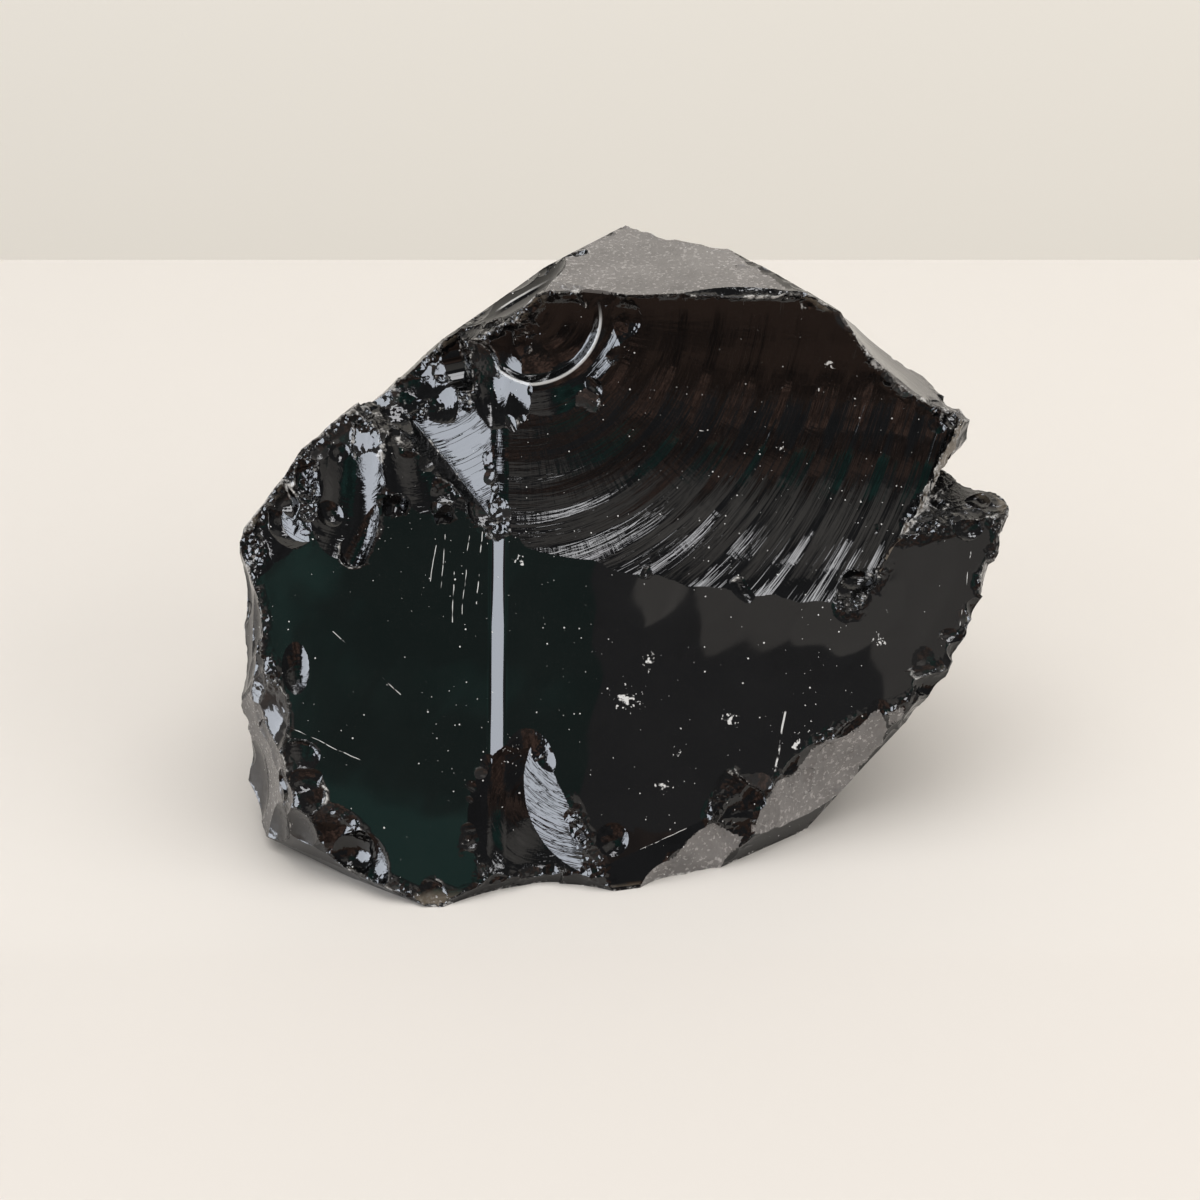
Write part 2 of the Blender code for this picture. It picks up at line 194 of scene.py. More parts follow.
# small flakes that are too fine for the part
FINE_FLAKES = {
    # the crushed upper left edge
    "spoon": Flake((-44.0, 11.9, 47.5), (8, 36), 14, (4.8, 3.3), (7.1, 6.2), guard="spoon lip"),
    "corner hollow": Flake((-46.6, 8.3, 43.0), (10, 38), 30, (4.8, 3.9), (6.7, 6.2), guard="wedge"),
    "small hollow": Flake((-39.6, 8.8, 43.8), (12, 42), 20, (3.0, 2.2), (4.8, 4.3), guard="small wedge"),
    "blade foot": Flake((-32.9, 7.9, 44.4), (-27, 27), -6, (19.5, 1.8), (8.6, 3.6), rings=0.8),
    "left corner": Flake((-51.1, 4.3, 40.7), (-2, 40), 10, (12.2, 10.4), (7.6, 7.1)),
    "crest scallop 1": Flake((-14.7, 23.4, 67.6), (-20, 62), 0, (1.9, 3.5), (4.3, 5.3)),
    "crest scallop 2": Flake((-19.7, 24.6, 64.0), (-14, 58), 10, (1.9, 3.0), (4.3, 5.0)),
    "crest scallop 4": Flake((-30.4, 26.0, 56.0), (-10, 56), 20, (1.5, 3.0), (3.9, 4.8)),
    "crest scallop 5": Flake((-40.0, 16.3, 53.5), (-24, 52), 10, (1.5, 3.0), (3.9, 4.8)),
    "crest scallop 6": Flake((-44.8, 12.4, 49.5), (-30, 50), 10, (1.5, 2.6), (3.9, 4.6)),
    # the folded lower right edge
    "fold 1": Flake((34.2, -11.2, 15.1), (28, 6), 20, (10.8, 8.1), (8.6, 7.6), **DULL_FOLD),
    "fold 2": Flake((37.4, -10.1, 14.7), (66, 14), 10, (7.5, 3.0), (6.7, 4.8), **DULL_FOLD),
    "fold 3": Flake((28.9, -13.7, 8.7), (30, -16), -30, (12.5, 7.3), (9.5, 7.6), ripple=(2.2, 0.05),
        **DULL_FOLD),
    "fold 4": Flake((23.0, -16.9, 6.6), (46, 2), -20, (8.1, 6.9), (7.6, 7.1), ripple=(1.9, 0.05),
        **DULL_FOLD),
    "fold 5": Flake((32.7, -11.6, 9.6), (60, -8), 0, (7.8, 6.5), (7.1, 6.7), **DULL_FOLD),
    "fold 6": Flake((16.9, -19.9, 1.5), (6, -4), -60, (10.8, 8.1), (8.6, 7.6), ripple=(1.9, 0.05),
        **DULL_FOLD),
    "fold 7": Flake((8.4, -22.7, 2.0), (28, -8), 0, (8.9, 10.4), (7.1, 7.6), **DULL_FOLD),
    "scalloped edge": Flake((20.0, -16.3, 8.9), (12, 20), 0, (2.6, 5.4), (4.8, 6.2), hackle=0.8),
    "comb": Flake((14.1, -20.5, 4.7), (14, 22), -62, (12.2, 4.1), (7.6, 5.0), ripple=(1.1, 0.05),
        hackle=0.9),
    "edge bite 1": Flake((27.8, -13.4, 13.1), (30, 24), -60, (5.8, 2.6), (5.7, 4.3)),
    "edge bite 2": Flake((35.3, -10.2, 16.5), (26, 30), -62, (8.7, 1.8), (6.7, 3.9), hackle=0.8),
    # the corner and the left side
    "corner crescent": Flake((-31.4, -24.3, 5.4), (-30, 24), 24, (9.1, 3.5), (7.6, 5.3), rings=0.6),
    "corner bowl": Flake((-36.0, -22.4, 4.3), (2, 34), 0, (2.7, 3.3), (6.2, 6.7)),
    "foot chip 3": Flake((-1.4, -23.8, 3.5), (-6, 8), 0, (2.2, 13.9), (4.3, 8.6)),
    "pale lump": Flake((3.8, -21.1, 6.8), (-30, 30), 20, (4.2, 3.1), (4.8, 4.3)),
    "notch bowl 1": Flake((-44.9, -11.2, 23.0), (-62, 2), 20, (6.9, 3.1), (7.1, 5.3), ripple=(1.6,
        0.04), haze=0.3),
    "notch bowl 2": Flake((-43.5, -8.9, 25.1), (-8, 52), 10, (8.7, 2.6), (6.7, 4.3), rings=0.6),
    "notch bowl 3": Flake((-48.5, -8.7, 23.9), (-66, 14), 10, (7.8, 1.9), (7.1, 4.3), haze=0.4),
    "side fold 1": Flake((-49.6, -9.6, 6.7), (-70, 12), 10, (14.0, 5.2), (10.0, 6.7), haze=0.5),
    "side fold 2": Flake((-47.0, -15.3, 6.5), (-44, 2), -10, (8.1, 5.8), (7.6, 6.7), haze=0.4),
    "side fold 3": Flake((-51.9, -5.7, 10.4), (-64, 6), 0, (5.4, 3.5), (6.2, 5.3), hackle=0.6),
    "side fold 4": Flake((-42.7, -20.6, 6.4), (-30, 12), 0, (6.5, 5.4), (6.7, 6.2), haze=0.3),
    "side fold 5": Flake((-50.6, -1.6, 28.0), (-60, 22), 10, (12.2, 3.5), (7.6, 4.8), haze=0.3),
    "side fold 6": Flake((-51.9, 3.7, 31.9), (-64, 10), 0, (10.4, 3.5), (7.1, 4.8)),
    # the right step, the tip and the thin rim
    "rim bite 1": Flake((58.3, 7.3, 36.6), (60, 20), 20, (10.4, 1.5), (7.6, 3.9)),
    "rim bite 2": Flake((55.4, 3.0, 30.6), (50, 20), 24, (10.4, 1.5), (7.6, 3.9)),
    "rim bite 3": Flake((51.5, -1.6, 26.4), (60, 10), 40, (7.5, 1.5), (6.7, 3.9)),
    "rim bite 4": Flake((46.4, -4.9, 22.6), (50, 14), 48, (8.9, 1.5), (7.1, 3.9)),
    # the brow
    "brow slit": Flake((22.3, 21.15, 73.05), (-3, 64), 0, (60.0, 56.0), (4.0, 12.0)),
}

# ------------------------------------------------------------------ marks
# Scratches and fine cracks: start, end, half width, all in millimetres.
SCRATCHES = {
    "scar scratch 1": ((15.1, 19.3, 52.4), (19.0, 19.6, 51.4), 0.07),
    "scar scratch 2": ((19.0, 19.6, 51.4), (24.2, 19.1, 49.2), 0.06),
    "scored line": ((27.2, -8.5, 19.9), (25.6, -14.1, 13.3), 0.13),
    "foot line": ((5.8, -22.6, 5.4), (12.6, -20.2, 7.5), 0.05),
    "hackle line 1": ((-22.9, 6.2, 41.5), (-23.5, -0.2, 34.1), 0.05),
    "hackle line 2": ((-21.4, 6.7, 42.1), (-21.7, -2.2, 31.6), 0.06),
    "hackle line 3": ((-19.2, 7.2, 42.3), (-20.3, -1.5, 32.3), 0.05),
    "hackle line 4": ((-17.3, 6.8, 41.7), (-18.2, -0.3, 33.5), 0.06),
    "hackle line 5": ((-24.2, 5.1, 40.4), (-25.0, 1.6, 36.4), 0.05),
    "rim line": ((55.6, 8.2, 38.6), (53.3, 0.2, 28.9), 0.05),
    "left line 1": ((-38.9, -4.3, 31.1), (-29.1, -9.4, 23.6), 0.05),
    "left line 2": ((-44.5, -13.7, 20.5), (-33.9, -16.2, 16.3), 0.05),
    "left line 3": ((-47.0, -1.5, 35.0), (-30.0, 6.0, 41.5), 0.06),
    "facet crack 1": ((-23.6, 17.6, 54.6), (-22.4, 14.4, 50.0), 0.09),
    "facet crack 2": ((-22.4, 14.4, 50.0), (-22.0, 11.6, 46.2), 0.08),
    "facet crack 3": ((-22.4, 14.2, 49.6), (-17.6, 14.6, 50.3), 0.06),
}
# Bruises, where a knock has crushed the glass: middle and radius.
BRUISES = [
    ((19.1, -9.6, 19.2), 1.3), ((11.2, -13.0, 15.9), 0.8), ((9.3, -16.4, 12.3), 1.2),
    ((7.3, -4.9, 26.3), 1.3), ((3.7, -8.6, 22.1), 1.9), ((27.3, 19.2, 49.1), 0.9),
    ((34.5, 23.0, 61.4), 0.8), ((33.2, 22.7, 57.5), 0.7), ((41.4, -1.3, 27.9), 1.0),
    ((-11.8, 4.3, 38.3), 0.9), ((-12.4, -14.6, 16.0), 1.6), ((29.0, -11.4, 16.4), 1.1),
]

# A sharp half ring round the strike bulb, below its middle: a bumped step, and a painted highlight along
# its lip.
BULB_RING_MIDDLE = (-10.2, 22.8, 69.4)
BULB_RING_REACH = 10.3
BULB_RING_LEFT = -15.0

# ------------------------------------------------------------------ wear along the arrises
# Each zone is a run of points with its reach, chips per millimetre of arris, the least and the
# greatest chip, and how crushed the arris is.
Zone = namedtuple("Zone", "points reach density least greatest crush")
WEAR = {
    "crest": Zone([(-54, 3, 42), (-44, 12, 53), (-33, 18, 60), (-24, 27, 63), (-12, 18, 73)],
                  9.0, 1.3, 1.0, 4.2, 1.0),
    "band": Zone([(-46, 2, 40), (-30, 4, 42), (-16, 10, 46)], 5.0, 0.6, 0.8, 2.6, 0.5),
    "left side": Zone([(-52, -3, 34), (-50, -14, 18), (-40, -24, 8)], 8.0, 0.9, 1.0, 3.6, 0.55),
    "foot": Zone([(-30, -28, 2), (-22, -30, 0), (10, -22, 10), (34, -12, 12), (42, -10, 16)],
                 8.0, 0.7, 0.8, 3.2, 0.6),
    "right rim": Zone([(44, -8, 20), (53, -3, 25), (60, 8, 38), (62, 14, 44)], 7.0, 1.2, 0.8, 2.8, 0.6),
    "ledge": Zone([(38, 3, 34), (45, 9, 40), (62, 14, 44)], 5.0, 0.8, 0.7, 2.0, 0.9),
    "right tip": Zone([(48, 22, 59), (58, 24, 53), (60, 30, 51)], 7.0, 1.0, 0.8, 2.6, 1.0),
    "brow": Zone([(-8, 17, 73), (12, 17, 73), (30, 18, 73)], 4.0, 0.35, 0.5, 1.5, 0.25),
    "summit": Zone([(-8, 30, 74), (5, 46, 76), (16, 40, 75), (30, 22, 73)], 6.0, 0.6, 0.7, 2.4, 0.35),
}
# How many small flakes lie on the faces beside an arris, how far from it, least and greatest.
POCKS = {
    "crest": (60, 3.0, 0.9, 2.0),
    "left side": (26, 3.0, 0.9, 2.2),
    "foot": (16, 2.5, 0.8, 1.8),
    "right rim": (16, 2.0, 0.8, 1.6),
    "ledge": (20, 3.0, 0.8, 1.8),
    "right tip": (14, 3.0, 0.8, 1.8),
    "summit": (10, 2.5, 0.8, 1.8),
}
ELSEWHERE = Zone([], 0.0, 0.28, 0.7, 2.6, 0.15)
SHARP = math.radians(24.0)  # a bend of the solid that counts as an arris
CRUSH_WIDTH = 2.8
# Length and height of the slow waves that keep any broad face from being a true plane.
WAVES = ((38.0, 0.22), (27.0, 0.16), (19.0, 0.10), (14.0, 0.06), (9.0, 0.025), (6.5, 0.014))


# ------------------------------------------------------------------ the field
def direction(facing):
    """Unit vector for (turn from the front towards the right, lift above level)."""
    turn, lift = (math.radians(angle) for angle in facing)
    return np.array((math.sin(turn) * math.cos(lift), -math.cos(turn) * math.cos(lift), math.sin(lift)))


def bowl_axes(outward, turn):
    """Long axis and cross axis of a bowl."""
    right = np.cross((0.0, 0.0, 1.0), outward)
    right /= np.linalg.norm(right)
    upward = np.cross(outward, right)
    lean = math.radians(turn)
    along = upward * math.cos(lean) - right * math.sin(lean)
    across = right * math.cos(lean) + upward * math.sin(lean)
    return along, across


def unit_rows(rows):
    return rows / np.maximum(np.linalg.norm(rows, axis=-1, keepdims=True), 1e-12)


class Bowls:
    """The numbers of every bowl, one row each."""

    def __init__(self):
        self.rows = []

    def add(self, at, outward, turn, bend, reach, strike, ripple, guard, rings, hackle, haze, chip):
        along, across = bowl_axes(outward, turn)
        wave, swell = ripple
        self.rows.append((*at, *along, *across, *outward, *bend, *reach, *strike, wave, swell,
                          guard, rings, hackle, haze, float(chip)))

    def add_chip(self, at, outward, turn, bend, reach, size, rings, haze):
        self.add(at, outward, turn, bend, (reach, reach), (0.0, 0.0), (size / 3.0, size * 0.004), -1,
                 rings, 0.2, haze, True)

    def close(self):
        table = np.array(self.rows)
        self.at, self.along, self.across, self.outward = (table[:, i:i + 3] for i in (0, 3, 6, 9))
        self.bend, self.reach, self.strike = (table[:, i:i + 2] for i in (12, 14, 16))
        self.wave, self.swell = table[:, 18], table[:, 19]
        self.guard = table[:, 20].astype(int)
        self.rings, self.hackle, self.haze, self.chip = (table[:, i] for i in (21, 22, 23, 24))
        self.count = len(table)


def waves(points):
    """The points pushed about by the slow waves, less and less towards the foot."""
    rng = np.random.default_rng(SEED + 1)
    moved = points.copy()
    fade = np.clip(points[:, 2:3] / 8.0, 0.0, 1.0)
    for length, height in WAVES:
        heading = unit_rows(rng.normal(size=3)) * math.tau / length
        push = unit_rows(rng.normal(size=3)) * height
        moved += fade * np.sin(points @ heading + rng.uniform(0.0, math.tau))[:, None] * push
    return moved


def bowl_depth(bowls, which, points):
    """Signed distance above a bowl's surface, and the place relative to the blow."""
    offset = points - bowls.at[which]
    along = np.sum(offset * bowls.along[which], axis=-1)
    across = np.sum(offset * bowls.across[which], axis=-1)
    height = np.sum(offset * bowls.outward[which], axis=-1)
    bend_a, bend_b = bowls.bend[which][..., 0], bowls.bend[which][..., 1]
    from_a = along - bowls.strike[which][..., 0]
    from_b = across - bowls.strike[which][..., 1]
    reach = np.hypot(from_a, from_b)
    wave, swell = bowls.wave[which], bowls.swell[which]
    turn = np.arctan2(from_b, from_a)
    level = along ** 2 / (2.0 * bend_a) + across ** 2 / (2.0 * bend_b)
    level += swell * np.sin(math.tau * reach / wave)
    level += 0.22 * swell * np.sin(math.tau * reach / (0.41 * wave) + 1.3 * np.sin(2.0 * turn))
    slope = np.sqrt(1.0 + (along / bend_a) ** 2 + (across / bend_b) ** 2)
    return (height - level) / slope, from_a, from_b


def bowl_rim(bowls, which, from_a, from_b):
    """Signed distance inside the rim of a bowl's reach."""
    reach_a, reach_b = bowls.reach[which][..., 0], bowls.reach[which][..., 1]
    return (1.0 - np.hypot(from_a / reach_a, from_b / reach_b)) * np.minimum(reach_a, reach_b)


class Field:
    """Signed distance to the stone, and which surface is nearest, by number."""

    def __init__(self, bowls):
        self.bowls = bowls
        self.planes, self.offsets = self.block_planes()
        walls = [wall for planes in GUARDS.values() for wall in planes]
        self.wall_at = np.array([point for point, facing in walls], float)
        self.wall_normal = np.array([direction(facing) for point, facing in walls])
        self.guard_first = np.cumsum([0] + [len(planes) for planes in GUARDS.values()])
        self.rim_base = len(self.planes)
        self.guard_base = self.rim_base + bowls.count
        self.bowl_base = self.guard_base + len(walls)

    @staticmethod
    def block_planes():
        bm = bmesh.new()
        for corner in BLOCK_CORNERS.values():
            bm.verts.new(corner)
        bmesh.ops.convex_hull(bm, input=bm.verts)
        middle = np.mean(list(BLOCK_CORNERS.values()), axis=0)
        found = {}
        for face in bm.faces:
            normal, point = np.array(face.normal), np.array(face.verts[0].co)
            if normal @ (point - middle) < 0.0:
                normal = -normal
            if face.calc_area() > 1e-6:
                found[tuple(np.round(normal, 4))] = (normal, normal @ point)
        bm.free()
        return np.array([n for n, d in found.values()]), np.array([d for n, d in found.values()])

    def __call__(self, points):
        """Points have to be sorted by x."""
        bowls = self.bowls
        moved = waves(points)
        value = np.empty(len(points))
        which = np.empty(len(points), np.int32)
        for start in range(0, len(points), 100000):
            part = slice(start, start + 100000)
            gap = moved[part] @ self.planes.T - self.offsets
            which[part] = np.argmax(gap, axis=1)
            value[part] = np.take_along_axis(gap, which[part][:, None], axis=1)[:, 0]
        for index in range(bowls.count):
            reach = bowls.reach[index]
            size = reach.max() + 0.6 if bowls.chip[index] else np.hypot(*reach) + 1.0
            centre = bowls.at[index] + bowls.along[index] * bowls.strike[index][0]
            centre = centre + bowls.across[index] * bowls.strike[index][1]
            first, last = np.searchsorted(points[:, 0], (centre[0] - size, centre[0] + size))
            near = points[first:last]
            inside = np.nonzero(np.all(np.abs(near[:, 1:] - centre[1:]) < size, axis=1))[0]
            if not len(inside):
                continue
            rows = inside + first
            place = moved[rows]
            depth, from_a, from_b = bowl_depth(bowls, index, place)
            rim = bowl_rim(bowls, index, from_a, from_b)
            number = np.where(rim < depth, self.rim_base + index, self.bowl_base + index)
            depth = np.minimum(depth, rim)
            if bowls.guard[index] >= 0:
                first, last = self.guard_first[bowls.guard[index]:][:2]
                gaps = [(place - self.wall_at[wall]) @ self.wall_normal[wall]
                        for wall in range(first, last)]
                gap = np.max(gaps, axis=0)
                number = np.where(gap < depth, self.guard_base + first + np.argmax(gaps, axis=0), number)
                depth = np.minimum(depth, gap)
            higher = depth > value[rows]
            value[rows[higher]] = depth[higher]
            which[rows[higher]] = number[higher]
        return value, which

    def single(self, which, points):
        """Value of one numbered surface for each point."""
        moved = waves(points)
        value = np.zeros(len(points))
        flat = which < self.rim_base
        value[flat] = np.sum(moved[flat] * self.planes[which[flat]], axis=1) - self.offsets[which[flat]]
        rim = (which >= self.rim_base) & (which < self.guard_base)
        index = which[rim] - self.rim_base
        _, from_a, from_b = bowl_depth(self.bowls, index, moved[rim])
        value[rim] = bowl_rim(self.bowls, index, from_a, from_b)
        wall = (which >= self.guard_base) & (which < self.bowl_base)
        index = which[wall] - self.guard_base
        value[wall] = np.sum((moved[wall] - self.wall_at[index]) * self.wall_normal[index], axis=1)
        bowl = which >= self.bowl_base
        value[bowl] = bowl_depth(self.bowls, which[bowl] - self.bowl_base, moved[bowl])[0]
        return value

    def normals(self, which, points):
        """Outward unit normal of each point's own surface."""
        step = 0.002
        here = self.single(which, points)
        slopes = [self.single(which, points + np.eye(3)[axis] * step) - here for axis in range(3)]
        return unit_rows(np.stack(slopes, axis=1))


def sorted_call(field, points):
    """The field at points in any order."""
    order = np.argsort(points[:, 0], kind="stable")
    value, which = np.empty(len(points)), np.empty(len(points), np.int32)
    value[order], which[order] = field(points[order])
    return value, which


# ------------------------------------------------------------------ chips
def segment_distance(points, run):
    """Least distance from each point to a run of straight pieces."""
    least = np.full(len(points), np.inf)
    for start, end in zip(run, run[1:]):
        start, end = np.array(start, float), np.array(end, float)
        share = np.clip((points - start) @ (end - start) / np.sum((end - start) ** 2), 0.0, 1.0)
        least = np.minimum(least, np.linalg.norm(points - start - share[:, None] * (end - start), axis=1))
    return least


def read_mesh(mesh):
    """Its vertices in the design frame, and the vertex at each corner."""
    verts = np.empty(len(mesh.vertices) * 3)
    mesh.vertices.foreach_get("co", verts)
    corner = np.empty(len(mesh.loops), np.int32)
    mesh.loops.foreach_get("vertex_index", corner)
    return verts.reshape(-1, 3) / MM + FOOTPRINT_MIDDLE, corner


def arrises():
    """Sharp outward edges of the CAD solid: ends and the normals of both faces."""
    bm = bmesh.new()
    bm.from_mesh(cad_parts["obsidian_chunk"].data)
    bmesh.ops.remove_doubles(bm, verts=bm.verts, dist=0.00002)
    found = []
    for edge in bm.edges:
        if edge.calc_length() > 0.0001 and edge.calc_face_angle_signed(0.0) > SHARP:
            one, two = (np.array(face.normal) for face in edge.link_faces)
            ends = [np.array(vert.co) / MM + FOOTPRINT_MIDDLE for vert in edge.verts]
            found.append((*ends, one, two))
    bm.free()
    return [np.array(column) for column in zip(*found)]


def zone_numbers(places):
    """Which wear zone each place lies in, or -1."""
    zone_of = np.full(len(places), -1)
    closest = np.full(len(places), np.inf)
    for number, zone in enumerate(WEAR.values()):
        distance = segment_distance(places, zone.points)
        take = (distance < zone.reach) & (distance < closest)
        zone_of[take] = number
        closest[take] = distance[take]
    return zone_of


def crushing(verts):
    """How crushed the glass is: most on a worn arris, nought beyond CRUSH_WIDTH of it."""
    start, end, _, _ = arrises()
    zone_of = zone_numbers((start + end) / 2.0)
    zones = list(WEAR.values())
    crushed = np.zeros(len(verts))
    for one, two, number in zip(start, end, zone_of):
        most = zones[number].crush if number >= 0 else ELSEWHERE.crush
        low, high = np.minimum(one, two) - CRUSH_WIDTH, np.maximum(one, two) + CRUSH_WIDTH
        rows = np.nonzero(np.all((verts > low) & (verts < high), axis=1))[0]
        share = 1.0 - segment_distance(verts[rows], [one, two]) / CRUSH_WIDTH
        crushed[rows] = np.maximum(crushed[rows], most * np.clip(share, 0.0, 1.0))
    return crushed


def cad_tree():
    verts, corner = read_mesh(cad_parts["obsidian_chunk"].data)
    return BVHTree.FromPolygons(verts.tolist(), corner.reshape(-1, 3).tolist())


def faces_glass(tree, place, outward):
    """Whether a flake opening this way would cut into glass across a hollow."""
    return tree.ray_cast(Vector(place + outward * 0.4), Vector(outward), 9.0)[0] is not None


def add_chips(bowls):
    """Small flakes pressed off the arrises, thick where the edge is crushed."""
    rng = np.random.default_rng(SEED)
    tree = cad_tree()
    start, end, one, two = arrises()
    length = np.linalg.norm(end - start, axis=1)
    zone_of = zone_numbers((start + end) / 2.0)
    zones = list(WEAR.values())
    for row in range(len(length)):
        zone = zones[zone_of[row]] if zone_of[row] >= 0 else ELSEWHERE
        for _ in range(rng.poisson(length[row] * zone.density)):
            place = start[row] + (end[row] - start[row]) * rng.uniform()
            if place[2] < 0.6:
                continue
            width = zone.least + (zone.greatest - zone.least) * rng.uniform() ** 2.0
            near, far = (one[row], two[row]) if rng.uniform() < 0.5 else (two[row], one[row])
            tilt = math.radians(rng.uniform(9.0, 30.0))
            edge = unit_rows(end[row] - start[row])
            aside = unit_rows(far - (far @ near) * near)
            outward = unit_rows(near * math.cos(tilt) + aside * math.sin(tilt) + edge * rng.normal() * 0.14)
            drop = min(width * math.sin(tilt), rng.uniform(0.25, 0.75))
            if faces_glass(tree, place, outward):
                continue
            width = drop / math.sin(tilt)
            run = width * rng.uniform(0.6, 1.7)
            right = unit_rows(np.cross((0.0, 0.0, 1.0), outward))
            turn = math.degrees(math.atan2(-(edge @ right), edge @ np.cross(outward, right)))
            bends = (run ** 2 / (2.0 * drop), width ** 2 / (rng.uniform(0.3, 1.2) * drop))
            reach = max(run, width) * 1.5
            bowls.add_chip(place - outward * drop, outward, turn + rng.uniform(-25.0, 25.0), bends, reach,
                           width, 0.15, 0.2 * rng.uniform() ** 3.0)


def add_pocks(bowls):
    """Small shallow flakes scattered over the faces beside the most worn arrises."""
    rng = np.random.default_rng(SEED + 2)
    tree = cad_tree()
    verts, corner = read_mesh(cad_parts["obsidian_chunk"].data)
    tris = verts[corner.reshape(-1, 3)]
    area_normal = np.cross(tris[:, 1] - tris[:, 0], tris[:, 2] - tris[:, 0])
    area = np.linalg.norm(area_normal, axis=1)
    middle = tris.mean(axis=1)
    for name, (count, reach, least, greatest) in POCKS.items():
        near = np.clip(1.2 - segment_distance(middle, WEAR[name].points) / reach, 0.0, 1.0)
        weight = area * near * (middle[:, 2] > 1.0)
        for row in rng.choice(len(tris), count, p=weight / weight.sum()):
            shares = rng.dirichlet((1.0, 1.0, 1.0))
            size = rng.uniform(least, greatest)
            depth = size * rng.uniform(0.14, 0.30)
            outward = unit_rows(area_normal[row] / area[row] + rng.normal(size=3) * 0.22)
            bend = size ** 2 / (2.0 * depth)
            if faces_glass(tree, shares @ tris[row], outward):
                continue
            bowls.add_chip(shares @ tris[row] - outward * depth, outward, rng.uniform(0.0, 180.0),
                           (bend * rng.uniform(1.0, 2.2), bend * rng.uniform(0.6, 1.0)), size * 1.7,
                           size, 0.2, 0.2 * rng.uniform() ** 2.0)


def gather_bowls(bowls, with_chips=True):
    """Every named flake, then the chips."""
    guard_names = list(GUARDS)
    for flake in [*FLAKES.values(), *FINE_FLAKES.values()]:
        guard = guard_names.index(flake.guard) if flake.guard else -1
        ripple = flake.ripple or (min(flake.reach) / 6.0, 0.008)
        if min(flake.bend) > 400 and flake.ripple is None:
            ripple = (20.0, 0.0)
        bowls.add(flake.at, direction(flake.facing), flake.turn, flake.bend, flake.reach, flake.strike,
                  ripple, guard, flake.rings, flake.hackle, flake.haze, False)
    if with_chips:
        add_chips(bowls)
        add_pocks(bowls)


# ------------------------------------------------------------------ meshing
BLOCK = 4  # cells along a block that is skipped when the surface is far from it
FLATTEN = 0.06  # pull of a cell's vertex towards the middle of its crossings


def mesh_field(field, cell):
    """Crisp mesh of the field's zero surface: vertices and quads."""
    wide = cell * BLOCK
    low = cad_low - 1.5 * wide
    shape = np.ceil((cad_high - low + 1.5 * wide) / wide).astype(int)
    grid = np.stack(np.meshgrid(*(np.arange(n) for n in shape), indexing="ij"), axis=-1).reshape(-1, 3)
    value, _ = field(low + (grid + 0.5) * wide)
    kept = grid[np.abs(value) < 0.5 * math.sqrt(3.0) * wide * 1.35]
    nodes = shape * BLOCK + 1
    live = np.zeros(nodes, bool)
    for shift in product(range(BLOCK + 1), repeat=3):
        live[tuple((kept * BLOCK + shift).T)] = True
    at = np.stack(np.nonzero(live), axis=-1)
    values = np.full(nodes, np.nan)
    values[live], _ = field(low + at * cell)
    values[live] = np.where(values[live] == 0.0, 1e-9, values[live])

    starts, axes, inside_first = [], [], []
    for axis in range(3):
        a, b = np.delete(values, -1, axis), np.delete(values, 0, axis)
        crossing = np.stack(np.nonzero(a * b < 0.0), axis=-1)
        starts.append(crossing)
        axes.append(np.full(len(crossing), axis))
        inside_first.append(a[tuple(crossing.T)] < 0.0)
    starts, axes, inside_first = np.concatenate(starts), np.concatenate(axes), np.concatenate(inside_first)
    step = np.eye(3, dtype=int)[axes]
    value_a, value_b = values[tuple(starts.T)], values[tuple((starts + step).T)]
    share_a, share_b = np.zeros(len(starts)), np.ones(len(starts))
    for _ in range(3):
        share = share_a + (share_b - share_a) * np.clip(value_a / (value_a - value_b), 0.04, 0.96)
        middle, which = sorted_call(field, low + (starts + step * share[:, None]) * cell)
        left = middle * value_a > 0.0
        share_a, value_a = np.where(left, share, share_a), np.where(left, middle, value_a)
        share_b, value_b = np.where(left, share_b, share), np.where(left, value_b, middle)
    share = share_a + (share_b - share_a) * value_a / (value_a - value_b)
    points = low + (starts + step * share[:, None]) * cell
    normals = field.normals(which, points)

    cells = nodes - 1
    around = []
    for a, b in product((0, 1), repeat=2):
        shift = np.zeros((len(starts), 3), int)
        shift[np.arange(len(starts)), (axes + 1) % 3] = -a
        shift[np.arange(len(starts)), (axes + 2) % 3] = -b
        around.append(np.ravel_multi_index(tuple((starts + shift).T), tuple(cells)))
    around = np.stack(around, axis=1)
    used, inverse = np.unique(around.ravel(), return_inverse=True)
    inverse = inverse.reshape(-1)
    total = np.bincount(inverse)
    spot = np.repeat(points, 4, axis=0)
    tilt = np.repeat(normals, 4, axis=0)
    centre = np.stack([np.bincount(inverse, spot[:, i]) / total for i in range(3)], axis=1)
    offset = np.sum(tilt * (spot - centre[inverse]), axis=1)
    matrix = np.empty((len(used), 3, 3))
    target = np.empty((len(used), 3))
    for i in range(3):
        target[:, i] = np.bincount(inverse, tilt[:, i] * offset)
        for j in range(i, 3):
            matrix[:, i, j] = matrix[:, j, i] = np.bincount(inverse, tilt[:, i] * tilt[:, j])
    matrix += np.eye(3) * FLATTEN
    move = np.linalg.solve(matrix, target[:, :, None])[:, :, 0]
    far = np.linalg.norm(move, axis=1, keepdims=True)
    move *= np.minimum(1.0, 0.9 * cell / np.maximum(far, 1e-12))
    verts = np.clip(centre + move, cad_low, cad_high)
    index = inverse.reshape(-1, 4)
    quads = index[:, (0, 1, 3, 2)]
    quads = np.where(inside_first[:, None], quads[:, ::-1], quads)
    return verts, quads


